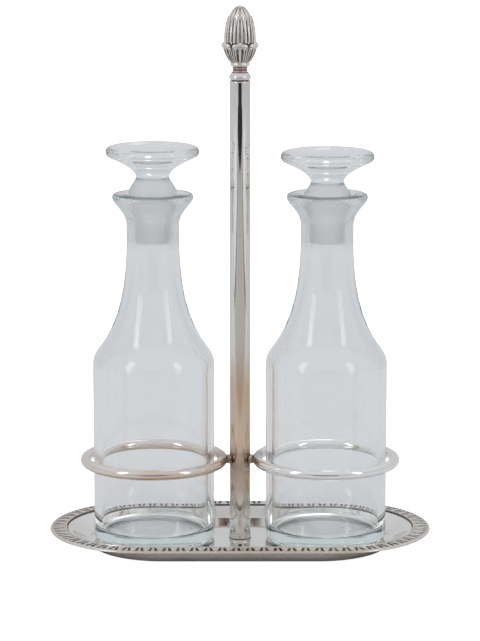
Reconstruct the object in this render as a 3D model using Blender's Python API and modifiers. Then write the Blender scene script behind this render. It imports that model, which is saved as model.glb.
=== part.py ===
"""Cruet set: two stoppered glass bottles standing in a silver-plated stand.

The origin is the bottom centre of the foot ring.  +Z is up, +X runs along the tray,
and -Y is the front.  Every value is in metres.
"""

import math

import bmesh
import bpy

# ---- clearances ------------------------------------------------------------------
ROUND_GAP = 0.0003          # between round surfaces that fit one another
FLAT_GAP = 0.0001           # between flat faces that rest on one another

# ---- bottles ---------------------------------------------------------------------
BODY_RADIUS = 0.0316
BODY_HEIGHT = 0.0935        # straight side, from the base to the start of the shoulder
BODY_WALL = 0.0040
BASE_THICKNESS = 0.0060
BASE_DOME = 0.0010          # rise of the inside of the base at its centre
BASE_KICK = 0.0008          # hollow under the base
BASE_CORNER = 0.0030
SHOULDER_RISE = 0.0098      # the convex part of the shoulder
SHOULDER_SHARE = 0.246      # part of the drop in radius that the convex part takes
SHOULDER_LEAN = 0.72        # inward run for each unit of rise where the curve turns
SHOULDER_EASE = 0.45        # handle of the convex part at the straight side, share of rise
SHOULDER_PULL = 0.30        # handle below the turn, share of the convex part's rise
NECK_PULL = 0.23            # handle above the turn, share of the hollow part's rise
NECK_EASE = 0.44            # handle of the hollow part at the neck, share of its rise
INNER_DROP = 0.45           # inside of the shoulder, lowered by this share of the wall
NECK_RISE = 0.0547          # the long hollow curve from shoulder to neck
NECK_RADIUS = 0.0137
NECK_LENGTH = 0.0085
BORE_RADIUS = 0.0095
LIP_RISE = 0.0144
LIP_RADIUS = 0.0210
LIP_EDGE = 0.0020           # height of the rounded edge of the lip
LIP_TOP_EASE = 0.22         # handle of the flare at the lip, share of its rise
LIP_FOOT_EASE = 0.50        # handle of the flare at the neck, share of its rise
MOUTH_ROUND = 0.0006        # softened edge between the lip and the ground mouth
MOUTH_RADIUS = 0.0137
FUNNEL_DEPTH = 0.0104

# ---- stoppers --------------------------------------------------------------------
SEAT_DEPTH = 0.0024         # widest part of the ground plug, below the top of the lip
PLUG_LENGTH = 0.0229
PLUG_TAPER = 0.0005         # loss of radius along the straight part of the plug
KNOB_RISE = 0.0086
WAIST_RADIUS = 0.0086
FLARE_RISE = 0.0100
DISC_RADIUS = 0.0242
DISC_EDGE = 0.0056          # thickness of the disc at its rim
DISC_DISH = 0.0028          # hollow in the top of the disc
DISH_REACH = 0.60           # radius where the dish steepens, share of the disc's radius
DISH_SHARE = 0.70           # depth of the dish at that radius, share of the full depth
FLARE_REACH = 0.62          # handle under the disc, share of its radius
FLARE_SINK = 0.32           # drop of that handle, share of the flare's rise
FLARE_EASE = 0.40           # handle above the waist, share of the flare's rise
KNOB_TOP_EASE = 0.40        # handle below the waist, share of the knob's rise
KNOB_FOOT_EASE = 0.35       # handle above the plug, share of the knob's rise
LEFT_STOPPER_LAND = 0.0026  # straight land that makes the left stopper stand higher
RIGHT_STOPPER_LAND = 0.0

# ---- stand -----------------------------------------------------------------------
FOOT_HEIGHT = 0.0020
FOOT_WIDTH = 0.0025
FOOT_INSET = 0.0010         # foot ring, in from the edge of the tray's floor
SHEET = 0.0008              # tray metal
WELL_DEPTH = 0.0067         # tray floor, below the top of the border
FLOOR_SIDE_MARGIN = 0.0074  # floor showing in front of and behind a bottle
FLOOR_END_MARGIN = 0.0024   # floor showing past a bottle at each end
WALL_SIDE_RUN = 0.0034      # width of the well's wall along the sides
WALL_END_RUN = 0.0114       # width of the well's wall at the ends
BORDER_WIDTH = 0.0089
BORDER_GROOVE = 0.0007      # groove between the border and the well
BORDER_THICKNESS = 0.0008
BORDER_SKIRT = 0.0016       # depth of the border's turned-down edge
BORDER_BEVEL = 0.0013
BORDER_EDGE = 0.00064       # upright part of the skirt's edge, measured up from its foot
BORDER_RIDGE = 0.0008
BORDER_RIDGE_EASE = 0.0002  # slope from the ridge down to the relief band
BORDER_SINK = 0.0004        # relief band, below the inner ridge

COLUMN_RADIUS = 0.00535
COLUMN_WALL = 0.0008
COLUMN_HEIGHT = 0.2413      # top of the column above the tray floor
BASE_COLLAR_HEIGHT = 0.0024
BASE_COLLAR_FLOOR = 0.0008
BASE_COLLAR_PROUD = 0.0008
BUSH_LENGTH = 0.0080

ROD_RADIUS = 0.0020
ROD_HEAD_RADIUS = 0.0050
ROD_HEAD_THICKNESS = 0.0009
ROD_SLOT_WIDTH = 0.0010
ROD_SLOT_DEPTH = 0.0004
ROD_REACH = 0.0270          # length of the tie rod that stands above the column
WASHER_RADIUS = 0.0070
WASHER_THICKNESS = 0.0005

RING_ROD_RADIUS = 0.0028
RING_CLEARANCE = 0.00135    # between a bottle and its ring
RING_HEIGHT = 0.0423        # centre of the ring above the tray floor
STUB_REACH = 0.0011         # between the column and a ring
STUB_RADIUS = 0.0025
PIN_RADIUS = 0.0012
PIN_DEPTH = 0.0024          # length of the pin inside a ring

COLLAR_HEIGHT = 0.0070
COLLAR_NECK_RADIUS = 0.00385
COLLAR_BEAD_HEIGHT = 0.0021
COLLAR_SHOULDER_HEIGHT = 0.0032
COLLAR_NECK_FOOT = 0.0046   # where the thin neck starts, above the column
CALYX_HEIGHT = 0.0125
CALYX_FOOT_RADIUS = 0.0050
CALYX_FOOT_HEIGHT = 0.0015
CALYX_LIP_RADIUS = 0.0098
CALYX_LIP_EDGE = 0.0007     # fall of the lip's upper edge
CALYX_LIP_FOLD = 0.0018     # depth of the turned-over lip
CALYX_LIP_UNDER = 0.0010    # step in, under the lip
CALYX_SWELL = 0.0016        # handles of the cup's curve, measured from lip and foot
CALYX_UPPER_EASE = 0.45     # height of the upper handle, share down from the top
CALYX_LOWER_EASE = 0.35     # height of the lower handle, share up from the foot
BUD_HEIGHT = 0.0192
BUD_RADIUS = 0.0084
BUD_TIP_EASE = 0.45         # handle at the tip, share of the radius
BUD_SIDE_EASE = 0.62        # handle at the side, share of the height
BUD_WIDEST = 0.16           # height of the widest place, share of the height
BUD_FOOT_RADIUS = 0.0079

# ---- facets ----------------------------------------------------------------------
GLASS_STEPS = 32
METAL_STEPS = 24
RING_STEPS = 40
RING_SECTION_STEPS = 10
TRAY_END_STEPS = 16
WALL_RINGS = 5

# ---- places worked out from the sizes above ---------------------------------------
FLOOR_Z = FOOT_HEIGHT + SHEET
RIM_Z = FLOOR_Z + WELL_DEPTH
COLUMN_TOP_Z = FLOOR_Z + COLUMN_HEIGHT
RING_Z = FLOOR_Z + RING_HEIGHT
RING_RADIUS = BODY_RADIUS + RING_CLEARANCE + RING_ROD_RADIUS
BOTTLE_X = COLUMN_RADIUS + STUB_REACH + RING_ROD_RADIUS + RING_RADIUS
BOTTLE_Z = FLOOR_Z + FLAT_GAP
SHOULDER_Z = BODY_HEIGHT + SHOULDER_RISE
NECK_Z = SHOULDER_Z + NECK_RISE
LIP_FOOT_Z = NECK_Z + NECK_LENGTH
LIP_Z = LIP_FOOT_Z + LIP_RISE
MOUTH_Z = LIP_Z + LIP_EDGE
SEAT_SLOPE = (MOUTH_RADIUS - BORE_RADIUS) / FUNNEL_DEPTH
PLUG_RADIUS = MOUTH_RADIUS - SEAT_DEPTH * SEAT_SLOPE - ROUND_GAP
ROD_BORE = ROD_RADIUS + ROUND_GAP
COLUMN_BORE = COLUMN_RADIUS - COLUMN_WALL
FLOOR_RADIUS = BODY_RADIUS + FLOOR_SIDE_MARGIN
FLOOR_HALF = BOTTLE_X + BODY_RADIUS + FLOOR_END_MARGIN - FLOOR_RADIUS
RIM_RADIUS = FLOOR_RADIUS + WALL_SIDE_RUN
RIM_HALF = FLOOR_HALF + WALL_END_RUN - WALL_SIDE_RUN
TRAY_RADIUS = RIM_RADIUS + BORDER_GROOVE + BORDER_WIDTH

COLOURS = {
    "silver": ((0.62, 0.61, 0.59), 0.16, 1.0),
    "worn_silver": ((0.60, 0.52, 0.47), 0.22, 1.0),
    "steel": ((0.42, 0.42, 0.43), 0.35, 1.0),
    "brass": ((0.56, 0.42, 0.20), 0.35, 1.0),
    "glass": ((0.78, 0.86, 0.88), 0.03, 0.0),
}


# ---- scene and helpers --------------------------------------------------------------

def clear_scene():
    """Remove every object that the file opens with."""
    for item in list(bpy.data.objects):
        bpy.data.objects.remove(item, do_unlink=True)


def new_collection(name):
    """Return a new collection linked to the scene."""
    group = bpy.data.collections.new(name)
    bpy.context.scene.collection.children.link(group)
    return group


def link_to(item, group):
    """Move an object into one collection."""
    for owner in list(item.users_collection):
        owner.objects.unlink(item)
    group.objects.link(item)


def dress(item, finish):
    """Give an object its own Principled material."""
    colour, roughness, metallic = COLOURS[finish]
    material = bpy.data.materials.new(item.name + "_" + finish)
    material.use_nodes = True
    shader = material.node_tree.nodes["Principled BSDF"]
    shader.inputs["Base Color"].default_value = (*colour, 1.0)
    shader.inputs["Roughness"].default_value = roughness
    shader.inputs["Metallic"].default_value = metallic
    if finish == "glass":
        shader.inputs["Transmission Weight"].default_value = 1.0
    item.data.materials.append(material)


def part(item, finish):
    """File an object as a piece of the cruet set."""
    link_to(item, PARTS)
    dress(item, finish)
    return item


def cutter(item):
    """File an object as a guide that only shapes other objects."""
    link_to(item, CUTTERS)
    item.hide_render = True
    item.display_type = "WIRE"
    return item


def boolean(item, tool, operation):
    """Cut an object with a cutter, or join the cutter to it."""
    step = item.modifiers.new(operation.lower(), "BOOLEAN")
    step.operation = operation
    step.solver = "EXACT"
    step.object = tool


def polyline_mesh(name, points, closed):
    """Return a mesh of edges through points (radius, height) in the XZ plane."""
    count = len(points)
    edges = [(index, index + 1) for index in range(count - 1)]
    if closed:
        edges.append((count - 1, 0))
    mesh = bpy.data.meshes.new(name)
    mesh.from_pydata([(radius, 0.0, height) for radius, height in points], edges, [])
    return mesh


def turned(name, points, steps=METAL_STEPS, closed=True, location=(0.0, 0.0, 0.0)):
    """Turn a profile about the object's own Z axis."""
    item = bpy.data.objects.new(name, polyline_mesh(name, points, closed))
    item.location = location
    bpy.context.scene.collection.objects.link(item)
    screw = item.modifiers.new("turn", "SCREW")
    screw.axis = "Z"
    screw.angle = 2.0 * math.pi
    screw.steps = steps
    screw.render_steps = steps
    screw.use_merge_vertices = True
    screw.merge_threshold = 0.00001
    screw.use_smooth_shade = True
    return item


def sleeve_profile(outer, inner, low, high):
    """Return the closed section of a plain sleeve."""
    return [(outer, high), (outer, low), (inner, low), (inner, high)]


def cylinder_x(name, radius, start, end, height, steps=METAL_STEPS):
    """Return a cylinder that lies along X at Y = 0."""
    bpy.ops.mesh.primitive_cylinder_add(
        vertices=steps, radius=radius, depth=abs(end - start),
        location=((start + end) / 2.0, 0.0, height), rotation=(0.0, math.pi / 2.0, 0.0))
    item = bpy.context.object
    item.name = name
    return item


def bezier(start, handle, other, end, count):
    """Return points along a cubic curve, without its first point."""
    points = []
    for index in range(1, count + 1):
        share = index / count
        rest = 1.0 - share
        weights = (rest ** 3, 3 * rest ** 2 * share, 3 * rest * share ** 2, share ** 3)
        points.append(tuple(
            sum(weight * corner[axis]
                for weight, corner in zip(weights, (start, handle, other, end)))
            for axis in range(2)))
    return points


def arc(centre, radius, start, end, count):
    """Return points along a circular arc, with angles in degrees."""
    points = []
    for index in range(count + 1):
        angle = math.radians(start + (end - start) * index / count)
        points.append((centre[0] + radius * math.cos(angle),
                       centre[1] + radius * math.sin(angle)))
    return points


def stadium(half_straight, radius, height):
    """Return a level outline with two straight sides and two round ends."""
    points = []
    for side in (1.0, -1.0):
        for step in range(TRAY_END_STEPS + 1):
            angle = math.pi * (step / TRAY_END_STEPS - 0.5)
            points.append((side * (half_straight + radius * math.cos(angle)),
                           side * radius * math.sin(angle), height))
    return points


def lofted(name, outlines, closed):
    """Join outlines of equal count; closed loops back, otherwise the last is filled."""
    shape = bmesh.new()
    rings = [[shape.verts.new(point) for point in outline] for outline in outlines]
    pairs = list(zip(rings, rings[1:]))
    if closed:
        pairs.append((rings[-1], rings[0]))
    else:
        shape.faces.new(rings[-1])
    for outer, inner in pairs:
        for index in range(len(outer)):
            after = (index + 1) % len(outer)
            shape.faces.new((outer[index], outer[after], inner[after], inner[index]))
    if closed:
        bmesh.ops.recalc_face_normals(shape, faces=shape.faces)
    mesh = bpy.data.meshes.new(name)
    shape.to_mesh(mesh)
    shape.free()
    item = bpy.data.objects.new(name, mesh)
    bpy.context.scene.collection.objects.link(item)
    return item


# ---- glass ---------------------------------------------------------------------------

def shoulder_curve(body, neck, drop):
    """Return the curve from the straight side up to the neck, lowered by drop."""
    start = (body, BODY_HEIGHT - drop)
    turn = (body - SHOULDER_SHARE * (body - neck), SHOULDER_Z - drop)
    end = (neck, NECK_Z)
    low, high = SHOULDER_PULL * SHOULDER_RISE, NECK_PULL * NECK_RISE
    points = [start]
    points += bezier(start, (body, start[1] + SHOULDER_EASE * SHOULDER_RISE),
                     (turn[0] + SHOULDER_LEAN * low, turn[1] - low), turn, 3)
    points += bezier(turn, (turn[0] - SHOULDER_LEAN * high, turn[1] + high),
                     (neck, end[1] - NECK_EASE * NECK_RISE), end, 6)
    return points


def bottle_profile():
    """Return the section: up the inside, over the lip, and down the outside."""
    inner_body = BODY_RADIUS - BODY_WALL
    corner = BODY_WALL
    inside = [(0.0, BASE_THICKNESS + BASE_DOME)]
    inside += arc((inner_body - corner, BASE_THICKNESS + corner), corner, 270, 360, 3)
    inside += shoulder_curve(inner_body, BORE_RADIUS, INNER_DROP * BODY_WALL)
    inside.append((BORE_RADIUS, MOUTH_Z - FUNNEL_DEPTH))
    inside.append((MOUTH_RADIUS - MOUTH_ROUND * SEAT_SLOPE, MOUTH_Z - MOUTH_ROUND))
    edge = [(MOUTH_RADIUS + MOUTH_ROUND, MOUTH_Z)]
    edge += arc((LIP_RADIUS - LIP_EDGE, LIP_Z), LIP_EDGE, 90, 0, 3)
    lip_foot = (NECK_RADIUS, LIP_FOOT_Z)
    outside = bezier(edge[-1], (LIP_RADIUS, LIP_Z - LIP_TOP_EASE * LIP_RISE),
                     (NECK_RADIUS, LIP_FOOT_Z + LIP_FOOT_EASE * LIP_RISE), lip_foot, 5)
    outside += reversed(shoulder_curve(BODY_RADIUS, NECK_RADIUS, 0.0))
    outside += arc((BODY_RADIUS - BASE_CORNER, BASE_CORNER), BASE_CORNER, 0, -90, 3)
    outside.append((inner_body - corner, 0.0))
    outside.append((0.0, BASE_KICK))
    return inside + edge + outside


def stopper_profile(land):
    """Return the section of a stopper, down from the centre of its disc.

    The height is 0 at the widest part of the ground plug, where it seats.
    """
    head = land + KNOB_RISE
    rim_z = head + FLARE_RISE
    top_z = rim_z + DISC_EDGE
    round_edge = DISC_EDGE / 2.0
    points = [(0.0, top_z - DISC_DISH),
              (DISH_REACH * DISC_RADIUS, top_z - DISH_SHARE * DISC_DISH)]
    points += arc((DISC_RADIUS - round_edge, rim_z + round_edge), round_edge, 90, -60, 5)
    points += bezier(points[-1], (FLARE_REACH * DISC_RADIUS, rim_z - FLARE_SINK * FLARE_RISE),
                     (WAIST_RADIUS, head + FLARE_EASE * FLARE_RISE), (WAIST_RADIUS, head), 6)
    points += bezier(points[-1], (WAIST_RADIUS, head - KNOB_TOP_EASE * KNOB_RISE),
                     (PLUG_RADIUS, land + KNOB_FOOT_EASE * KNOB_RISE), (PLUG_RADIUS, land), 4)
    if land > 0.0:
        points.append((PLUG_RADIUS, 0.0))
    straight = BORE_RADIUS - ROUND_GAP
    seat_drop = (PLUG_RADIUS - straight) / SEAT_SLOPE
    points.append((straight, -seat_drop))
    points.append((straight - PLUG_TAPER, -PLUG_LENGTH))
    points.append((0.0, -PLUG_LENGTH))
    return points


def make_bottle(name, side):
    """Make one bottle, with its origin at the centre of its base."""
    item = turned(name, bottle_profile(), GLASS_STEPS, False,
                  (side * BOTTLE_X, 0.0, BOTTLE_Z))
    return part(item, "glass")


def make_stopper(name, bottle, land):
    """Make one stopper, with its origin at its seat, parented to its bottle."""
    item = turned(name, stopper_profile(land), GLASS_STEPS, False,
                  (0.0, 0.0, MOUTH_Z - SEAT_DEPTH))
    item.parent = bottle
    return part(item, "glass")


# ---- tray ----------------------------------------------------------------------------

def make_tray():
    """Make the tray: a flat flange, the wall of the well, and its floor."""
    flange_z = RIM_Z - BORDER_THICKNESS - FLAT_GAP
    flange_edge = TRAY_RADIUS - BORDER_THICKNESS - ROUND_GAP
    outlines = [stadium(RIM_HALF, flange_edge, flange_z),
                stadium(RIM_HALF, RIM_RADIUS, flange_z)]
    for step in range(1, WALL_RINGS + 1):
        share = step / WALL_RINGS
        sink = (1.0 - math.cos(math.pi * share)) / 2.0
        outlines.append(stadium(RIM_HALF + share * (FLOOR_HALF - RIM_HALF),
                                RIM_RADIUS + share * (FLOOR_RADIUS - RIM_RADIUS),
                                flange_z + sink * (FLOOR_Z - flange_z)))
    item = lofted("tray", outlines, False)
    shell = item.modifiers.new("sheet", "SOLIDIFY")
    shell.thickness = SHEET
    shell.offset = -1.0
    shell.use_even_offset = True
    bpy.ops.mesh.primitive_cylinder_add(
        vertices=METAL_STEPS, radius=ROD_BORE, depth=4.0 * SHEET,
        location=(0.0, 0.0, FLOOR_Z))
    hole = cutter(bpy.context.object)
    hole.name = "tray_hole"
    boolean(item, hole, "DIFFERENCE")
    return part(item, "silver")


def make_border():
    """Make the applied border, whose skirt closes over the tray's edge."""
    edge = TRAY_RADIUS
    inner = TRAY_RADIUS - BORDER_WIDTH
    band_outer = edge - BORDER_BEVEL
    band_inner = inner + BORDER_RIDGE
    band_z = RIM_Z - BORDER_SINK
    under_z = RIM_Z - BORDER_THICKNESS
    section = [
        (edge, RIM_Z - BORDER_SKIRT), (edge, RIM_Z - BORDER_SKIRT + BORDER_EDGE),
        (band_outer, band_z), (band_inner, band_z),
        (band_inner - BORDER_RIDGE_EASE, RIM_Z), (inner, RIM_Z), (inner, under_z),
        (edge - BORDER_THICKNESS, under_z),
        (edge - BORDER_THICKNESS, RIM_Z - BORDER_SKIRT),
    ]
    outlines = [stadium(RIM_HALF, radius, height) for radius, height in section]
    return part(lofted("border_strip", outlines, True), "silver")


def make_foot_ring():
    """Make the foot ring that the tray stands on."""
    outer = FLOOR_RADIUS - FOOT_INSET
    inner = outer - FOOT_WIDTH
    top_z = FOOT_HEIGHT - FLAT_GAP
    section = [(outer, 0.0), (outer, top_z), (inner, top_z), (inner, 0.0)]
    outlines = [stadium(FLOOR_HALF, radius, height) for radius, height in section]
    return part(lofted("foot_ring", outlines, True), "silver")


# ---- column --------------------------------------------------------------------------

def make_tie_rod():
    """Make the slotted tie rod that clamps tray, column and finial together."""
    washer_low = FOOT_HEIGHT - FLAT_GAP - WASHER_THICKNESS
    washer = turned("base_washer", sleeve_profile(
        WASHER_RADIUS, ROD_BORE, washer_low, washer_low + WASHER_THICKNESS))
    head_top = washer_low - FLAT_GAP
    head_low = head_top - ROD_HEAD_THICKNESS
    top = COLUMN_TOP_Z + ROD_REACH
    tip = ROD_RADIUS / 4.0
    rod = turned("tie_rod", [
        (0.0, top), (ROD_RADIUS - tip, top), (ROD_RADIUS, top - tip),
        (ROD_RADIUS, head_top), (ROD_HEAD_RADIUS, head_top),
        (ROD_HEAD_RADIUS, head_low), (0.0, head_low)], closed=False)
    bpy.ops.mesh.primitive_cube_add(size=1.0, location=(0.0, 0.0, head_low))
    slot = cutter(bpy.context.object)
    slot.name = "rod_slot"
    slot.scale = (3.0 * ROD_HEAD_RADIUS, ROD_SLOT_WIDTH, 2.0 * ROD_SLOT_DEPTH)
    boolean(rod, slot, "DIFFERENCE")
    part(washer, "brass")
    return part(rod, "steel")


def make_column():
    """Make the column tube, its foot collar and the two bushes inside it."""
    collar_low = FLOOR_Z + FLAT_GAP
    socket = collar_low + BASE_COLLAR_FLOOR
    outer = COLUMN_RADIUS + BASE_COLLAR_PROUD
    collar_top = collar_low + BASE_COLLAR_HEIGHT
    ease = BASE_COLLAR_PROUD / 3.0
    part(turned("base_collar", [
        (outer - ease, collar_top), (outer, collar_top - ease), (outer, collar_low),
        (ROD_BORE, collar_low), (ROD_BORE, socket),
        (COLUMN_RADIUS + ROUND_GAP, socket),
        (COLUMN_RADIUS + ROUND_GAP, collar_top)]), "silver")
    foot = socket + FLAT_GAP
    tube = turned("column_tube", sleeve_profile(
        COLUMN_RADIUS, COLUMN_BORE, foot, COLUMN_TOP_Z))
    reach = COLUMN_RADIUS + STUB_REACH
    boolean(tube, cutter(cylinder_x(
        "column_drill", PIN_RADIUS + ROUND_GAP, -reach, reach, RING_Z, 16)), "DIFFERENCE")
    part(tube, "silver")
    bush = COLUMN_BORE - ROUND_GAP
    for name, low in (("bottom_bush", foot),
                      ("top_bush", COLUMN_TOP_Z - BUSH_LENGTH)):
        part(turned(name, sleeve_profile(bush, ROD_BORE, low, low + BUSH_LENGTH)), "brass")


# ---- rings ---------------------------------------------------------------------------

def ring_torus(name, side, section_radius):
    """Return a torus on a bottle's axis at the height of the rings."""
    bpy.ops.mesh.primitive_torus_add(
        major_radius=RING_RADIUS, minor_radius=section_radius,
        major_segments=RING_STEPS, minor_segments=RING_SECTION_STEPS,
        location=(side * BOTTLE_X, 0.0, RING_Z))
    item = bpy.context.object
    item.name = name
    item.data.shade_smooth()
    return item


def make_ring(suffix, side):
    """Make one bottle ring and the pinned stub that carries it on the column."""
    near = side * (COLUMN_RADIUS + STUB_REACH)
    pin_end = near + side * PIN_DEPTH
    ring = ring_torus("ring_" + suffix, side, RING_ROD_RADIUS)
    drill = cylinder_x("ring_drill_" + suffix, PIN_RADIUS + ROUND_GAP,
                       near - side * STUB_REACH, pin_end + side * ROUND_GAP, RING_Z, 16)
    boolean(ring, cutter(drill), "DIFFERENCE")
    part(ring, "worn_silver" if side < 0.0 else "silver")

    stub = cylinder_x("ring_stub_" + suffix, STUB_RADIUS,
                      side * (COLUMN_RADIUS - STUB_RADIUS),
                      near + side * RING_ROD_RADIUS, RING_Z, 24)
    bpy.ops.mesh.primitive_cylinder_add(
        vertices=METAL_STEPS, radius=COLUMN_RADIUS + ROUND_GAP,
        depth=4.0 * STUB_RADIUS, location=(0.0, 0.0, RING_Z))
    saddle = cutter(bpy.context.object)
    saddle.name = "column_saddle_" + suffix
    boolean(stub, saddle, "DIFFERENCE")
    boolean(stub, cutter(ring_torus("ring_saddle_" + suffix, side,
                                    RING_ROD_RADIUS + ROUND_GAP)), "DIFFERENCE")
    pin = cylinder_x("pin_" + suffix, PIN_RADIUS,
                     side * (COLUMN_BORE + FLAT_GAP), pin_end, RING_Z, 16)
    boolean(stub, cutter(pin), "UNION")
    part(stub, "worn_silver")


# ---- finial --------------------------------------------------------------------------

def make_finial():
    """Make the finial's collar, calyx and bud, all threaded on the tie rod."""
    low = COLUMN_TOP_Z + FLAT_GAP
    top = COLUMN_TOP_Z + COLLAR_HEIGHT
    bead = COLUMN_RADIUS + ROUND_GAP
    part(turned("finial_collar", [
        (COLLAR_NECK_RADIUS, top), (COLLAR_NECK_RADIUS, COLUMN_TOP_Z + COLLAR_NECK_FOOT),
        (COLUMN_RADIUS, COLUMN_TOP_Z + COLLAR_SHOULDER_HEIGHT),
        (bead, COLUMN_TOP_Z + COLLAR_BEAD_HEIGHT),
        (COLUMN_RADIUS, low), (ROD_BORE, low), (ROD_BORE, top)]), "worn_silver")

    low = top + FLAT_GAP
    top = COLUMN_TOP_Z + COLLAR_HEIGHT + CALYX_HEIGHT
    lip_under = (CALYX_LIP_RADIUS - CALYX_LIP_UNDER, top - CALYX_LIP_FOLD)
    cup = bezier(lip_under,
                 (CALYX_LIP_RADIUS - CALYX_SWELL, top - CALYX_UPPER_EASE * CALYX_HEIGHT),
                 (CALYX_FOOT_RADIUS + CALYX_SWELL, low + CALYX_LOWER_EASE * CALYX_HEIGHT),
                 (CALYX_FOOT_RADIUS, low + CALYX_FOOT_HEIGHT), 5)
    part(turned("finial_calyx", [
        (CALYX_LIP_RADIUS - CALYX_SWELL, top), (CALYX_LIP_RADIUS, top - CALYX_LIP_EDGE),
        lip_under] + cup + [
            (CALYX_FOOT_RADIUS, low), (ROD_BORE, low), (ROD_BORE, top)]), "silver")

    low = top + FLAT_GAP
    top = COLUMN_TOP_Z + COLLAR_HEIGHT + CALYX_HEIGHT + BUD_HEIGHT
    bud = [(0.0, top)]
    bud += bezier(bud[0], (BUD_TIP_EASE * BUD_RADIUS, top),
                  (BUD_RADIUS, low + BUD_SIDE_EASE * BUD_HEIGHT),
                  (BUD_RADIUS, low + BUD_WIDEST * BUD_HEIGHT), 8)
    hole_top = COLUMN_TOP_Z + ROD_REACH + FLAT_GAP
    part(turned("finial_bud", bud + [
        (BUD_FOOT_RADIUS, low), (ROD_BORE, low), (ROD_BORE, hole_top),
        (0.0, hole_top)], closed=False), "silver")


def main():
    """Make every piece of the cruet set."""
    make_tray()
    make_border()
    make_foot_ring()
    make_tie_rod()
    make_column()
    make_finial()
    for suffix, side, land in (("left", -1.0, LEFT_STOPPER_LAND),
                               ("right", 1.0, RIGHT_STOPPER_LAND)):
        make_ring(suffix, side)
        bottle = make_bottle("bottle_" + suffix, side)
        make_stopper("stopper_" + suffix, bottle, land)


clear_scene()
PARTS = new_collection("cruet_set")
CUTTERS = new_collection("cutters")
main()
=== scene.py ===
"""The looks of a two-bottle cruet set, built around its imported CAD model.

Everything is in metres in the CAD model's own frame: the origin is the bottom centre of
the foot ring, +Z is up, +X runs along the tray and -Y is the front.  Each sub-assembly
is a class that reads its place from the CAD boxes, builds its meshes and dresses them.
"""

import logging
import math
from collections.abc import Sequence
from dataclasses import dataclass
from enum import Enum
from typing import ClassVar

import bmesh
import bpy
import numpy as np
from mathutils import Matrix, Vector


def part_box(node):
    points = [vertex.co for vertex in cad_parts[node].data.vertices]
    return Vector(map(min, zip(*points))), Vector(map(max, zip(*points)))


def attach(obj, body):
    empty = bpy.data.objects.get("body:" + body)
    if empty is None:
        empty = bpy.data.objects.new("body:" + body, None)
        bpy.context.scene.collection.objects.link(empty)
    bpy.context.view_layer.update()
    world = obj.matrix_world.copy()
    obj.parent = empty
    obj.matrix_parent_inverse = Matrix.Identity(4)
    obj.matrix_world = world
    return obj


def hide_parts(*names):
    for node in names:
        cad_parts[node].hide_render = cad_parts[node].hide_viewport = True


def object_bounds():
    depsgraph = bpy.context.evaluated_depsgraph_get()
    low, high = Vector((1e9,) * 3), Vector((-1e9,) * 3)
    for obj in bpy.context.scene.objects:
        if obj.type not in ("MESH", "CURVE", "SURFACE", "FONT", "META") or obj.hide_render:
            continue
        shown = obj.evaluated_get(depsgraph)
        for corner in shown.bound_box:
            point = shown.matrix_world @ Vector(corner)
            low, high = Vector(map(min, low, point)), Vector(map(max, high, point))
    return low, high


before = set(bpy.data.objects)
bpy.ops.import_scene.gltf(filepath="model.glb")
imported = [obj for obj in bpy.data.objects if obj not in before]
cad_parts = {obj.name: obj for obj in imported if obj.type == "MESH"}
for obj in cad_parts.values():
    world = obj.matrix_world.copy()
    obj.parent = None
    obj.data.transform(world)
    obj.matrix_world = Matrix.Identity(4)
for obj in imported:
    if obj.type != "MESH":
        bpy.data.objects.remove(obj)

CAD_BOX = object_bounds()
LOG = logging.getLogger("cruet_set")

Colour = tuple[float, float, float]
Point2 = tuple[float, float]
Corner = tuple[float, float, float]
Item = bpy.types.Object
Socket = bpy.types.NodeSocket
Levels = float | np.ndarray  # one value for all points, or one for each


class Side(Enum):
    """The two bottle places, by the sign of their X."""

    LEFT = -1.0
    RIGHT = 1.0

    def node(self, stem: str) -> str:
        """Return the CAD node's name for this side."""
        return f"{stem}_{self.name.lower()}"


class Lie(Enum):
    """Which way the marks of a finish run, as how noise is squeezed along each axis."""

    ALONG_X = (0.06, 1.0, 1.0)
    UPRIGHT = (1.0, 1.0, 0.05)
    WIPED = (1.0, 1.0, 0.4)
    RIPPLED = (1.0, 1.0, 0.45)
    ROUND = (1.0, 1.0, 8.0)
    RANDOM = (1.0, 1.0, 1.0)


class Grain(Enum):
    """How fine each kind of mark is: its noise scale per metre, and its detail."""

    CLOUD = (42.0, 4.0)
    SPECK = (900.0, 2.0)
    UNEVEN = (420.0, 3.0)
    SMEAR = (160.0, 3.0)
    HAIR = (5200.0, 2.0)
    SWAY = (55.0, 1.0)
    RAGGED = (260.0, 3.0)
    GRIT = (4200.0, 2.0)
    SMUDGE = (70.0, 4.0)
    RIPPLE = (48.0, 1.5)
    DULLING = (130.0, 5.0)
    TOOLING = (1500.0, 2.0)


# ---- outlines and meshes -------------------------------------------------------------

def bezier(start: Point2, first: Point2, second: Point2, end: Point2,
           count: int) -> list[Point2]:
    """Read points along a cubic curve.

    Args:
        start: where the curve starts.
        first: the start's handle.
        second: the end's handle.
        end: where the curve ends.
        count: how many points to return.

    Returns:
        Points from just after the start to the end.
    """
    share = np.linspace(0.0, 1.0, count + 1)[1:, None]
    rest = 1.0 - share
    curve = (rest ** 3 * np.array(start) + 3 * rest ** 2 * share * np.array(first)
             + 3 * rest * share ** 2 * np.array(second) + share ** 3 * np.array(end))
    return [tuple(point) for point in curve]


def arc(centre: Point2, radius: float, start: float, end: float,
        count: int) -> list[Point2]:
    """Read points along a circular arc.

    Args:
        centre: the arc's centre.
        radius: the arc's radius.
        start: the first angle, in degrees.
        end: the last angle, in degrees.
        count: how many steps to take.

    Returns:
        One point more than there are steps.
    """
    angles = np.radians(np.linspace(start, end, count + 1))
    return [(centre[0] + radius * math.cos(a), centre[1] + radius * math.sin(a))
            for a in angles]


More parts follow.
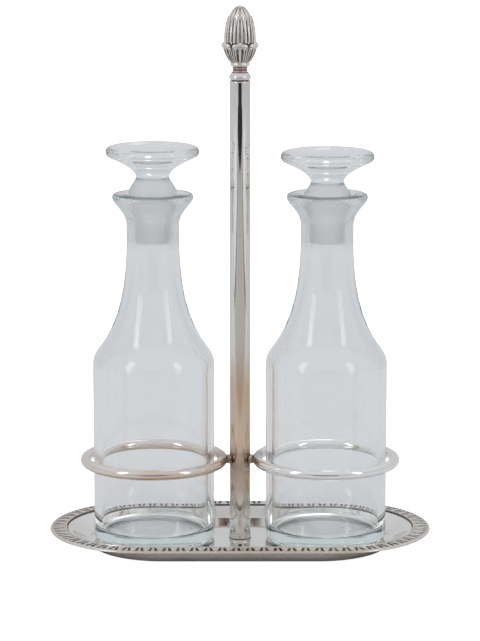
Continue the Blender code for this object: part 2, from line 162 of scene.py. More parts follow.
def eased(corners: Sequence[Corner], closed: bool = True, count: int = 5) -> list[Point2]:
    """Ease the corners of an outline.

    Args:
        corners: (radius, height, ease) for each corner; ease is how far from the corner
            its rounding starts.
        closed: whether the outline's end joins its start.
        count: how many points each eased corner gets.

    Returns:
        The outline's points.
    """
    points: list[Point2] = []
    places = [np.array(corner[:2]) for corner in corners]
    last = len(corners) - 1
    for index, (corner, place) in enumerate(zip(corners, places)):
        if corner[2] <= 0.0 or (not closed and index in (0, last)):
            points.append(tuple(place))
            continue
        ends = []
        sides = (places[index - 1] - place, places[(index + 1) % (last + 1)] - place)
        cut = min(corner[2], *(0.49 * np.linalg.norm(side) for side in sides))
        for side in sides:
            ends.append(place + side / np.linalg.norm(side) * cut)
        for share in np.linspace(0.0, 1.0, count):
            rest = 1.0 - share
            points.append(tuple(rest ** 2 * ends[0] + 2 * share * rest * place
                                + share ** 2 * ends[1]))
    return points


def peak(value: Levels, width: float, power: int = 2) -> Levels:
    """Return a smooth bump: 1 where the value is 0, falling off over the width."""
    return np.exp(-(value / width) ** power)


def below(value: Levels, width: float) -> Levels:
    """Return a smooth step: 1 for values well below 0, and 0 well above."""
    return 1.0 / (1.0 + np.exp(value / width))


def share_of(value: Levels, width: float) -> Levels:
    """Return a value as a share of a width, kept from 0 to 1."""
    return np.clip(value / width, 0.0, 1.0)


def show(name: str, data: bpy.types.ID) -> Item:
    """Put a mesh, a camera or a lamp in the scene as an object."""
    item = bpy.data.objects.new(name, data)
    bpy.context.scene.collection.objects.link(item)
    return item


def skin(name: str, rings: np.ndarray, looped: bool, recess: np.ndarray | None = None,
         crease: float = 35.0) -> Item:
    """Stretch one closed body over rings of points.

    Args:
        name: the piece's name.
        rings: (rings, points, 3); each ring closes on itself.
        looped: whether the last ring joins the first; if not, the end rings are filled.
        recess: how dark each point is, from 0 to 1: oxide deep in a recess, and painted shade
            on the tray's underside.
        crease: edges sharper than this angle in degrees stay sharp.

    Returns:
        The new piece, smooth shaded.
    """
    shape = bmesh.new()
    layer = shape.verts.layers.float.new("recess")
    verts = [[shape.verts.new(place) for place in ring] for ring in rings]
    if recess is not None:
        for row, darks in zip(verts, recess):
            for vert, dark in zip(row, darks):
                vert[layer] = float(dark)
    bands = list(zip(verts, verts[1:] + verts[:1]))
    for near, far in bands if looped else bands[:-1]:
        for corners in zip(near, near[1:] + near[:1], far[1:] + far[:1], far):
            shape.faces.new(corners)
    if not looped:
        shape.faces.new(verts[0])
        shape.faces.new(verts[-1])
    bmesh.ops.remove_doubles(shape, verts=shape.verts, dist=1e-7)
    bmesh.ops.recalc_face_normals(shape, faces=shape.faces)
    mesh = bpy.data.meshes.new(name)
    shape.to_mesh(mesh)
    shape.free()
    mesh.shade_smooth()
    mesh.set_sharp_from_angle(angle=math.radians(crease))
    return show(name, mesh)


def turned(name: str, outline: Sequence[Point2], centre: Point2, foot: float, steps: int,
           looped: bool = True, crease: float = 35.0) -> Item:
    """Turn an outline about an upright axis.

    Args:
        name: the piece's name.
        outline: (radius, height); its ends lie on the axis unless looped.
        centre: the axis's X and Y.
        foot: the Z that heights are measured from.
        steps: how many facets go round.
        looped: whether the outline closes on itself, as a sleeve's does.
        crease: as in skin.

    Returns:
        The turned piece.
    """
    section = np.array(outline)
    angles = np.arange(steps) * 2.0 * math.pi / steps
    rings = np.empty((len(section), steps, 3))
    rings[:, :, 0] = centre[0] + section[:, :1] * np.cos(angles)
    rings[:, :, 1] = centre[1] + section[:, :1] * np.sin(angles)
    rings[:, :, 2] = foot + section[:, 1:]
    return skin(name, rings, looped, crease=crease)


@dataclass(frozen=True)
class Path:
    """A level path in even steps: two straights and two half circles, or one circle."""

    half: float
    radius: float
    count: int

    def directions(self) -> tuple[np.ndarray, np.ndarray, np.ndarray]:
        """Return each step's place on the middle line, and its outward X and Y."""
        straight, bend = 2.0 * self.half, math.pi * self.radius
        travel = (np.arange(self.count) + 0.5) / self.count * 2.0 * (straight + bend)
        side = np.where(travel < straight + bend, 1.0, -1.0)
        along = np.mod(travel, straight + bend)
        angle = np.clip((along - straight) / self.radius, 0.0, math.pi) - math.pi / 2.0
        middle = side * (np.clip(along, 0.0, straight) - self.half)
        return middle, side * np.cos(angle) * (along > straight), side * np.where(
            along > straight, np.sin(angle), -1.0)

    def ring(self, radius: Levels, height: Levels, half: float | None = None) -> np.ndarray:
        """Return one ring of points.

        Args:
            radius: distance from the middle line.
            height: Z.
            half: half the straights' length, where it isn't the path's own.

        Returns:
            An array of (points, 3).
        """
        middle, out_x, out_y = self.directions()
        scale = 1.0 if half is None else half / self.half
        ring = np.empty((self.count, 3))
        ring[:, 0] = middle * scale + out_x * radius
        ring[:, 1] = out_y * radius
        ring[:, 2] = height
        return ring


class Pile:
    """Rings of points piled along one path, each with how dark it is: oxide in a recess, and
    painted shade on the tray's underside.
    """

    def __init__(self, path: Path) -> None:
        """Start an empty pile."""
        self.path = path
        self.rings: list[np.ndarray] = []
        self.darks: list[np.ndarray] = []

    def add(self, radius: Levels, height: Levels, dark: Levels = 0.0,
            half: float | None = None) -> None:
        """Put on the ring that Path.ring makes, and how dark it is."""
        self.rings.append(self.path.ring(radius, height, half))
        self.darks.append(np.zeros(self.path.count) + dark)

    def skinned(self, name: str, looped: bool = True, crease: float = 35.0) -> Item:
        """Return the whole pile as one body."""
        return skin(name, np.array(self.rings), looped, np.array(self.darks), crease)


# ---- finishes ------------------------------------------------------------------------

class NodeTree:
    """A node tree, with short calls for what the finishes and the room share."""

    def __init__(self, tree: bpy.types.NodeTree) -> None:
        """Take the tree that nodes are added to."""
        self.tree = tree

    def feed(self, socket: Socket, value: object) -> None:
        """Give a socket its value.

        Args:
            socket: a node's input.
            value: another node's output to link, or a plain value to set.
        """
        if isinstance(value, Socket):
            self.tree.links.new(value, socket)
        else:
            socket.default_value = (*value, 1.0) if socket.type == "RGBA" else value

    def add(self, kind: str, **inputs: object) -> bpy.types.Node:
        """Add a node and feed its inputs by name.

        Args:
            kind: the node's type.
            inputs: values for feed, each under its input's name with underscores.

        Returns:
            The new node.
        """
        node = self.tree.nodes.new(kind)
        for key, value in inputs.items():
            self.feed(node.inputs[key.replace("_", " ")], value)
        return node

    def join(self, kind: str, *values: object) -> Socket:
        """Add a node and feed its inputs in order.

        Args:
            kind: the node's type.
            values: values for feed, from the first input on.

        Returns:
            The node's first output.
        """
        node = self.tree.nodes.new(kind)
        for socket, value in zip(node.inputs, values):
            self.feed(socket, value)
        return node.outputs[0]

    def remap(self, value: Socket, low: float, high: float,
              to_low: float = 0.0, to_high: float = 1.0) -> Socket:
        """Stretch a value smoothly from one range to another, and clamp it.

        Args:
            value: the value to stretch.
            low: what becomes to_low.
            high: what becomes to_high.
            to_low: the start of the new range.
            to_high: the end of the new range.

        Returns:
            The stretched value.
        """
        node = self.add("ShaderNodeMapRange", Value=value, From_Min=low, From_Max=high,
                        To_Min=to_low, To_Max=to_high)
        node.interpolation_type = "SMOOTHSTEP"
        return node.outputs["Result"]

    def maths(self, operation: str, first: object, second: object = 0.0,
              clamp: bool = True) -> Socket:
        """Work out one Math node.

        Args:
            operation: the node's operation.
            first: the first value, plain or another node's.
            second: the second value.
            clamp: whether the result is kept from 0 to 1.

        Returns:
            The result.
        """
        result = self.join("ShaderNodeMath", first, second)
        result.node.operation, result.node.use_clamp = operation, clamp
        return result

    def blend(self, share: Socket, low: object, high: object) -> Socket:
        """Mix two colours.

        Args:
            share: how much of the second colour there is.
            low: the first colour, plain or another node's.
            high: the second colour.

        Returns:
            The mixed colour.
        """
        node = self.tree.nodes.new("ShaderNodeMix")
        node.data_type = "RGBA"
        for index, value in ((0, share), (6, low), (7, high)):
            self.feed(node.inputs[index], value)
        return node.outputs[2]


class NodePaint(NodeTree):
    """A material's node tree, round one Principled shader."""

    def __init__(self, name: str) -> None:
        """Start a material."""
        self.material = bpy.data.materials.new(name)
        self.material.use_nodes = True
        super().__init__(self.material.node_tree)
        self.shader = self.tree.nodes["Principled BSDF"]
        self.output = self.tree.nodes["Material Output"]
        self.place = self.add("ShaderNodeTexCoord").outputs["Object"]

    def surface(self, **inputs: object) -> None:
        """Feed the shader's sockets, named as in add."""
        for key, value in inputs.items():
            self.feed(self.shader.inputs[key.replace("_", " ")], value)

    def noise(self, grain: Grain, lie: Lie = Lie.RANDOM) -> Socket:
        """Spread noise over the surface.

        Args:
            grain: how fine it is.
            lie: which way it is drawn out.

        Returns:
            The noise, about 0.5 on average.
        """
        spread = self.add("ShaderNodeMapping", Vector=self.place, Scale=lie.value)
        scale, detail = grain.value
        return self.add("ShaderNodeTexNoise", Vector=spread.outputs["Vector"],
                        Scale=scale, Detail=detail).outputs["Fac"]

    def bump(self, height: Socket, distance: float, strength: float = 1.0,
             **under: Socket) -> Socket:
        """Return a normal roughened by a height, over another Normal if one is given."""
        return self.add("ShaderNodeBump", Height=height, Distance=distance,
                        Strength=strength, **under).outputs["Normal"]

    def axis(self, name: str) -> Socket:
        """Return one coordinate of the surface point, in metres."""
        return self.add("ShaderNodeSeparateXYZ", Vector=self.place).outputs[name]

    def mark(self, name: str) -> Socket:
        """Return the number that the mesh holds for each point under a name."""
        node = self.tree.nodes.new("ShaderNodeAttribute")
        node.attribute_name = name
        return node.outputs["Fac"]


@dataclass(frozen=True)
class Fade:
    """A shift toward the tarnish colour that grows along one axis, from none at start to full
    at end; it is painted shade on the border's front edge and painted reflection on the
    column and the lower half of the left ring.
    """

    axis: str
    start: float
    end: float
    strength: float


@dataclass(frozen=True)
class Seam:
    """A dark line of oxide at one height, as in a turned groove or a joint."""

    height: float
    half: float
    strength: float = 1.0


@dataclass(frozen=True)
class ScorchAndReflection:
    """The stain that a torch leaves about a brazed joint, and the painted reflection on the
    column's front that takes the same shape.
    """

    place: Corner
    reach: float
    strength: float


@dataclass(frozen=True)
class SilverPlate:
    """Polished silver plate: worn bright, browned in patches, oxide in its recesses; some
    pieces also get painted shade and painted reflection through its fades, stains and dark
    shares.
    """

    slot: str
    silver: Colour = (0.86, 0.85, 0.83)
    tarnish_and_shade: Colour = (0.60, 0.47, 0.38)
    oxide: Colour = (0.09, 0.075, 0.062)
    patches: float = 0.25
    roughness: float = 0.10
    lie: Lie = Lie.RANDOM
    fades: tuple[Fade, ...] = ()
    scorches_and_reflection: tuple[ScorchAndReflection, ...] = ()
    seams: tuple[Seam, ...] = ()
    scorch_and_reflection_colour: Colour = (0.20, 0.12, 0.09)
    wave: float = 0.00002
    hair: float = 0.000004
    oxide_and_shade_roughness: float = 0.35
    brown_roughness: float = 0.10

    def material(self, name: str) -> bpy.types.Material:
        """Build the material.

        Args:
            name: what to call it.

        Returns:
            The new material.
        """
        paint = NodePaint(name)
        cloud = paint.remap(paint.noise(Grain.CLOUD), 0.42, 0.78, 0.0, self.patches)
        speck = paint.remap(paint.noise(Grain.SPECK), 0.62, 0.80, 0.0, 0.22)
        brown = paint.maths("ADD", cloud, paint.maths("MULTIPLY", speck, cloud))
        # Each fade browns the surface along one axis; on the border's front edge, the column
        # and the left ring this is painted shade and painted reflection.
        for fade in self.fades:
            rise = paint.remap(paint.axis(fade.axis), fade.start, fade.end,
                               0.0, fade.strength)
            brown = paint.maths("ADD", brown, rise)
        surface = paint.blend(brown, self.silver, self.tarnish_and_shade)
        # Torch stains about joints; the column's front one is painted reflection.
        for spot in self.scorches_and_reflection:
            surface = paint.blend(self.scorch_and_reflection_share(paint, spot), surface, self.scorch_and_reflection_colour)
        # The recess share is oxide in hollows, and on the tray's underside painted shade.
        oxide_and_shade = paint.remap(paint.mark("recess"), 0.10, 0.80)
        uneven = paint.remap(paint.noise(Grain.UNEVEN), 0.32, 0.62, 0.75, 1.0)
        oxide_and_shade = paint.maths("MULTIPLY", oxide_and_shade, uneven)
        for seam in self.seams:
            level = paint.maths("SUBTRACT", paint.axis("Z"), seam.height, clamp=False)
            line = paint.remap(paint.maths("ABSOLUTE", level, clamp=False), seam.half,
                               0.5 * seam.half, 0.0, seam.strength)
            oxide_and_shade = paint.maths("ADD", oxide_and_shade, line)
        smear = paint.remap(paint.noise(Grain.SMEAR, self.lie), 0.3, 0.8,
                            self.roughness, self.roughness + 0.07)
        rough = paint.maths("ADD", smear, paint.maths("MULTIPLY", oxide_and_shade,
                                                      self.oxide_and_shade_roughness))
        rough = paint.maths("ADD", rough, paint.maths("MULTIPLY", brown,
                                                      self.brown_roughness))
        hair = paint.bump(paint.noise(Grain.HAIR, self.lie), self.hair, 0.5)
        paint.surface(Base_Color=paint.blend(oxide_and_shade, surface, self.oxide), Roughness=rough,
                      Metallic=1.0,
                      Normal=paint.bump(paint.noise(Grain.SWAY), self.wave, Normal=hair))
        return paint.material

    def scorch_and_reflection_share(self, paint: NodePaint, spot: ScorchAndReflection) -> Socket:
        """Return how strong a mark is at each point, with a ragged edge: a torch stain about
        a joint, and painted reflection on the column's front.

        Args:
            paint: the material being built.
            spot: where the torch was held.

        Returns:
            spot: where the mark sits: the torch's place at a joint, and on the column's front
                the middle of the painted reflection.
        """
        gap = paint.join("ShaderNodeVectorMath", paint.place, spot.place).node
        gap.operation = "DISTANCE"
        ragged = paint.remap(paint.noise(Grain.RAGGED), 0.3, 0.7, 0.55, 1.0)
        near = paint.remap(gap.outputs["Value"], spot.reach, 0.15 * spot.reach,
                           0.0, spot.strength)
        return paint.maths("MULTIPLY", near, ragged)


@dataclass(frozen=True)
class PressedGlass:
    """Clear pressed glass, ground matt where a stopper seats, with a cool green depth."""

    slot: str
    tint: Colour = (0.997, 0.998, 1.0)
    depth_tint: Colour = (0.10, 0.76, 0.72)
    depth: float = 2.6
    bending: float = 1.50
    smudge: float = 0.05
    ground: float = 0.26
    grit: float = 0.000008
    wave: float = 0.00009

    def material(self, name: str) -> bpy.types.Material:
        """Build the material.

        Args:
            name: what to call it.

        Returns:
            The new material.
        """
        paint = NodePaint(name)
        matt = paint.mark("ground")
        grain = paint.noise(Grain.GRIT)
        smudge = paint.remap(paint.noise(Grain.SMUDGE, Lie.WIPED), 0.52, 0.75,
                             0.0, self.smudge)
        rough = paint.maths("MULTIPLY", matt, paint.remap(
            grain, 0.3, 0.7, self.ground, self.ground + 0.10))
        sway = paint.bump(paint.noise(Grain.RIPPLE, Lie.RIPPLED), self.wave)
        grit = paint.bump(paint.maths("MULTIPLY", matt, grain), self.grit, Normal=sway)
        paint.surface(Base_Color=self.tint, Transmission_Weight=1.0, IOR=self.bending,
                      Roughness=paint.maths("ADD", smudge, rough), Normal=grit)
        paint.feed(paint.output.inputs["Volume"], paint.join(
            "ShaderNodeVolumeAbsorption", self.depth_tint, self.depth))
        return paint.material


@dataclass(frozen=True)
class TurnedMetal:
    """Plain brass or steel off the lathe, with tool rings and a dull skin."""

    slot: str
    metal: Colour
    skin: Colour
    roughness: float = 0.32

    def material(self, name: str) -> bpy.types.Material:
        """Build the material.

        Args:
            name: what to call it.

        Returns:
            The new material.
        """
        paint = NodePaint(name)
        dull = paint.remap(paint.noise(Grain.DULLING), 0.4, 0.75)
        rough = paint.remap(dull, 0.0, 1.0, self.roughness, self.roughness + 0.2)
        tooling = paint.bump(paint.noise(Grain.TOOLING, Lie.ROUND), 0.00001)
        paint.surface(Base_Color=paint.blend(dull, self.metal, self.skin),
                      Roughness=rough, Metallic=1.0, Normal=tooling)
        return paint.material


Finish = SilverPlate | PressedGlass | TurnedMetal


class Fitter:
    """Finishes pieces and fixes them to the bodies of the CAD model."""

    body: str = "stand"

    def fit(self, item: Item, finish: Finish, *nodes: str) -> None:
        """Dress a new piece and put it in the place of its CAD nodes.

        Args:
            item: the piece, already in place.
            finish: what its surface is.
            nodes: the CAD nodes that it stands for.
        """
        item.data.materials.append(finish.material(item.name))
        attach(item, self.body)
        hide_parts(*nodes)
        LOG.info("%s: %d faces on %s", item.name, len(item.data.polygons), self.body)

    def dress_node(self, node: str, finish: Finish) -> None:
        """Give a CAD node that keeps its own shape a better surface.

        Args:
            node: the CAD node's name.
            finish: what its surface is.
        """
        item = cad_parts[node]
        item.data.materials.clear()
        item.data.materials.append(finish.material(finish.slot))
        LOG.info("%s: kept from the CAD model", node)


# ---- tray ----------------------------------------------------------------------------

@dataclass
class Tray(Fitter):
    """The pressed tray, its stamped leaf border and the foot ring under it."""

    sheet: float = 0.0008
    foot_inset: float = 0.0010
    foot_width: float = 0.0025
    border_width: float = 0.0089
    groove: float = 0.0007
    skirt: float = 0.0016
    bevel: float = 0.0013
    ridge: float = 0.0008
    ridge_round: float = 0.0003
    band_sink: float = 0.00035
    leaf_count: int = 72
    leaf_steps: int = 24
    band_rows: int = 18
    leaf_depth: float = 0.00020
    clearance: float = 0.0001
    bolt_bore: float = 0.0023
    plate_steps: int = 480
    foot_steps: int = 320
    flange_dark: float = 0.9
    # The underside's dark share is painted shade, mixed toward the finish's oxide colour.
    under_painted_shade: float = 0.31

    def __post_init__(self) -> None:
        """Read the tray's plan from the CAD boxes."""
        border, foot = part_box("border_strip")[1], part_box("foot_ring")[1]
        under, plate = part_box("tray")
        self.radius, self.half, self.rim_z = border.y, border.x - border.y, border.z
        self.flange_radius, self.flange_z = plate.y, plate.z
        self.foot_radius, self.foot_z = foot.y, foot.z
        self.floor_half = foot.x - foot.y
        self.floor_radius = foot.y + self.foot_inset
        self.floor_z = under.z + self.sheet
        self.well_radius = self.radius - self.border_width - self.groove

    def build(self) -> None:
        """Make the three pieces."""
        self.make_plate()
        self.make_border()
        self.make_foot()

    def make_plate(self) -> None:
        """Press the sheet: bored floor, curved wall and flat flange."""
        floor = [(share * self.floor_half, self.bolt_bore
                  + share * (self.floor_radius - self.bolt_bore), self.floor_z)
                 for share in (0.0, 0.02, 0.1, 0.3, 0.6, 0.9, 0.97)]
        flange = [(self.half, radius, self.flange_z - drop) for radius, drop in (
            (self.well_radius + 0.00012, 0.0), (self.flange_radius - 0.0003, 0.0),
            (self.flange_radius, 0.0002))]
        top = np.array(floor + self.well_wall() + flange)
        slope = np.gradient(top[:, 1:], axis=0)
        slope /= np.maximum(np.linalg.norm(slope, axis=1, keepdims=True), 1e-9)
        under = top.copy()
        under[len(floor):, 1] += slope[len(floor):, 1] * self.sheet
        under[:, 2] -= slope[:, 0] * self.sheet
        under[-1] = (self.half, self.flange_radius, self.flange_z - self.sheet)
        pile = Pile(Path(self.half, self.radius, self.plate_steps))
        for index, (half, radius, height) in enumerate(np.vstack([top, under[::-1]])):
            on_flange = index >= len(top) - len(flange) - 1
            # The underside's rings take the painted shade; the flange under the border takes
            # its own dark share.
            dark = self.under_painted_shade if index >= len(top) else self.flange_dark * on_flange
            pile.add(radius, height, dark, half)
        self.fit(pile.skinned("tray_plate"), SilverPlate(
            "tray_silver", silver=(0.88, 0.88, 0.86),
            # This oxide colour also paints the underside's shade brown.
            tarnish_and_shade=(0.58, 0.47, 0.37), oxide=(0.33, 0.235, 0.125), patches=0.16,
            roughness=0.045, lie=Lie.ALONG_X, wave=0.00003), "tray")

    def well_wall(self) -> list[Corner]:
        """Return the well's wall: steep along the sides and a long slope at the ends.

        Returns:
            For each level, half the straights' length, the radius and the height.
        """
        side_run = self.well_radius - self.floor_radius
        end_run = side_run + self.half - self.floor_half
        rise = self.flange_z - self.floor_z
        levels = []
        for run, height in eased(
                [(0.0, 0.0, 0.0), (0.30 * side_run, 0.0, 0.0010),
                 (0.72 * side_run, rise, 0.0009), (side_run, rise, 0.0)],
                closed=False, count=12):
            end = end_run * math.acos(1.0 - 2.0 * height / rise) / math.pi
            levels.append((self.floor_half + end - run, self.floor_radius + run,
                           self.floor_z + height))
        return levels

    def leaf_relief(self, across: np.ndarray, out: float) -> tuple[np.ndarray, np.ndarray]:
        """Shape one row of the leaf band.

        Args:
            across: each point's place in its leaf, from -0.5 to 0.5.
            out: the row's place in the band, from 0 at the ridge to 1 at the bevel.

        Returns:
            The height of each point as a share of the leaf's depth, and its recess.
        """
        off = np.abs(across)
        inside = share_of(out - 0.06, 0.06) * share_of(0.97 - out, 0.05)
        spread = 0.130 + 0.120 * out
        width = 0.084 + 0.034 * out
        stroke = below(np.abs(off - spread) - width, 0.011)
        tongue_end = 0.80 - 0.30 * share_of(0.5 - off, 0.30) ** 2
        behind = below(tongue_end - out, 0.030) * (off > spread)
        bead = peak(off - 0.5, 0.085) * peak(out - 0.88, 0.085)
        vein = 0.35 * peak(off - 0.5, 0.022) * share_of(0.60 - out, 0.2)
        cut = np.clip(np.maximum(stroke, 0.28 * behind) + vein, 0.0, 1.0) * inside
        cut = cut * (1.0 - 0.95 * bead)
        crown = 0.35 * np.clip(1.0 - ((off - 0.5) / 0.26) ** 2, 0.0, 1.0) * (1.0 - behind)
        rib = 0.30 * peak(off, 0.05)
        return (crown + rib + 0.55 * bead) * inside - cut, cut

    def make_border(self) -> None:
        """Stamp the leaf border and close its skirt over the tray's edge."""
        path = Path(self.half, self.radius - self.bevel, self.leaf_count * self.leaf_steps)
        across = np.mod((np.arange(path.count) + 0.5) / self.leaf_steps, 1.0) - 0.5
        inner = self.radius - self.border_width
        band_in, band_out = inner + self.ridge, self.radius - self.bevel
        band_z = self.rim_z - self.band_sink
        under_z, low_z = self.flange_z + self.clearance, self.rim_z - self.skirt
        bend, bend_z = self.ridge_round, self.rim_z - self.ridge_round
        pile = Pile(path)
        pile.add(inner, under_z, 0.8)
        pile.add(inner, under_z + 0.0001, 0.5)
        for step, place in enumerate(arc((inner + bend, bend_z), bend, 170, 60, 4)):
            pile.add(*place, 0.5 * (step < 2))
        for place in arc((band_in - bend, bend_z), bend, 90, 10, 3):
            pile.add(*place)
        pile.add(band_in + 0.00005, band_z - 0.0001, 0.6)
        for out in np.linspace(0.0, 1.0, self.band_rows + 1)[1:-1]:
            height, dark = self.leaf_relief(across, float(out))
            pile.add(band_in + out * (band_out - band_in),
                     band_z + height * self.leaf_depth, dark)
        pile.add(band_out, band_z - 0.0001, 0.4)
        for place in eased([
                (band_out, band_z, 0.0), (band_out + 0.0003, band_z + 0.0001, 0.0002),
                (self.radius - 0.0002, self.rim_z - 0.0009, 0.0005),
                (self.radius, low_z + 0.0003, 0.0002), (self.radius - 0.0002, low_z, 0.0)],
                closed=False, count=4)[1:]:
            pile.add(*place)
        pile.add(self.radius - self.sheet, low_z, 0.3)
        pile.add(self.radius - self.sheet, under_z, 0.6)
        self.fit(pile.skinned("border_leaf", crease=60.0), SilverPlate(
            "border_silver", silver=(0.80, 0.78, 0.74),
            tarnish_and_shade=(0.62, 0.47, 0.33), oxide=(0.045, 0.036, 0.030), patches=0.45,
            # The Y fade is painted shade: it browns and roughens only the front edge of the
            # border, in place of its highlight.
            roughness=0.19, fades=(Fade("Y", -0.046, -0.0518, 0.55),)), "border_strip")

    def make_foot(self) -> None:
        """Make the foot ring, its lower edges worn round."""
        outer, inner = self.foot_radius, self.foot_radius - self.foot_width
        pile = Pile(Path(self.floor_half, outer, self.foot_steps))
        for place in eased([(outer, 0.0, 0.0004), (outer, self.foot_z, 0.0002),
                            (inner, self.foot_z, 0.0), (inner, 0.0, 0.0005)]):
            pile.add(*place)
        self.fit(pile.skinned("foot_band"), SilverPlate(
            "foot_silver", silver=(0.50, 0.46, 0.41),
            tarnish_and_shade=(0.22, 0.18, 0.15), patches=0.7, roughness=0.28), "foot_ring")


# ---- column --------------------------------------------------------------------------

@dataclass
class Column(Fitter):
    """The tube, the collar at its foot, and the rod, bushes and washer that hold it."""

    wall: float = 0.0008
    bore: float = 0.0023
    collar_floor: float = 0.0008
    collar_lip: float = 0.0002
    steps: int = 96

    def build(self) -> None:
        """Make the column's pieces."""
        self.make_tube()
        self.make_collar()
        for node, slot, metal, dull in (
                ("bottom_bush", "bush_brass", (0.75, 0.58, 0.30), (0.50, 0.36, 0.18)),
                ("top_bush", "bush_brass", (0.75, 0.58, 0.30), (0.50, 0.36, 0.18)),
                ("base_washer", "washer_brass", (0.73, 0.56, 0.29), (0.42, 0.31, 0.17)),
                ("tie_rod", "rod_steel", (0.56, 0.56, 0.57), (0.30, 0.28, 0.26))):
            self.dress_node(node, TurnedMetal(slot, metal, dull))

    def make_tube(self) -> None:
        """Draw the tube, with its two ends broken so that its joints show as lines."""
        low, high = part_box("column_tube")
        outer, inner = high.x, high.x - self.wall
        length = high.z - low.z
        side = [(outer, share * length, 0.0) for share in np.linspace(0.06, 0.94, 9)]
        outline = eased([(outer, 0.0, 0.0002)] + side + [
            (outer, length - 0.0004, 0.0003), (outer - 0.0005, length, 0.0002),
            (inner, length, 0.0), (inner, 0.0, 0.0)])
        mid = low.z + 0.5 * length
        joint_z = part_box("ring_left")[0].z + 0.0022
        brazed = [ScorchAndReflection((side.value * outer, 0.0, joint_z), 0.0105, 0.95) for side in Side]
        self.fit(turned("column_drawn", outline, (0.0, 0.0), low.z, self.steps), SilverPlate(
            "column_silver", silver=(0.82, 0.81, 0.79),
            tarnish_and_shade=(0.65, 0.46, 0.30), patches=0.12, roughness=0.015, lie=Lie.UPRIGHT,
            # The fades are painted reflection: the first browns the lower half of the tube,
            # where it reflects the shaded floor in front, the second takes the brown off
            # again just above the collar, and the X fade warms the +X side with the warmer
            # side of the room.
            fades=(Fade("Z", mid - 0.010, low.z + 0.075, 0.70),
                   Fade("Z", low.z + 0.030, low.z + 0.018, -0.48),
                   Fade("X", 0.0, outer, 0.16)), scorch_and_reflection_colour=(0.11, 0.062, 0.05),
            # The third mark, at the tube's front, is no joint: it is painted reflection,
            # browning the front below the stubs where the tube reflects the shaded floor.
            scorches_and_reflection=(*brazed, ScorchAndReflection((0.0, -outer, joint_z - 0.009), 0.022, 0.34))),
            "column_tube")

    def make_collar(self) -> None:
        """Turn the collar that the tube stands in."""
        low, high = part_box("base_collar")
        rise = high.z - low.z
        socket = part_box("column_tube")[1].x + 0.0001
        slim = socket + self.collar_lip
        outline = eased([
            (self.bore, 0.0, 0.0), (slim + 0.0002, 0.0, 0.0001),
            (slim + 0.0002, 0.0003, 0.0001), (slim, 0.0004, 0.0002),
            (slim, rise - 0.0003, 0.0002), (socket, rise, 0.0),
            (socket, self.collar_floor, 0.0), (self.bore, self.collar_floor, 0.0)])
        self.fit(turned("collar_turned", outline, (0.0, 0.0), low.z, self.steps), SilverPlate(
            "collar_silver", silver=(0.82, 0.79, 0.75),
            tarnish_and_shade=(0.60, 0.48, 0.38), patches=0.35, roughness=0.06,
            seams=(Seam(low.z, 0.0004, 0.7), Seam(high.z, 0.0003, 0.5))), "base_collar")


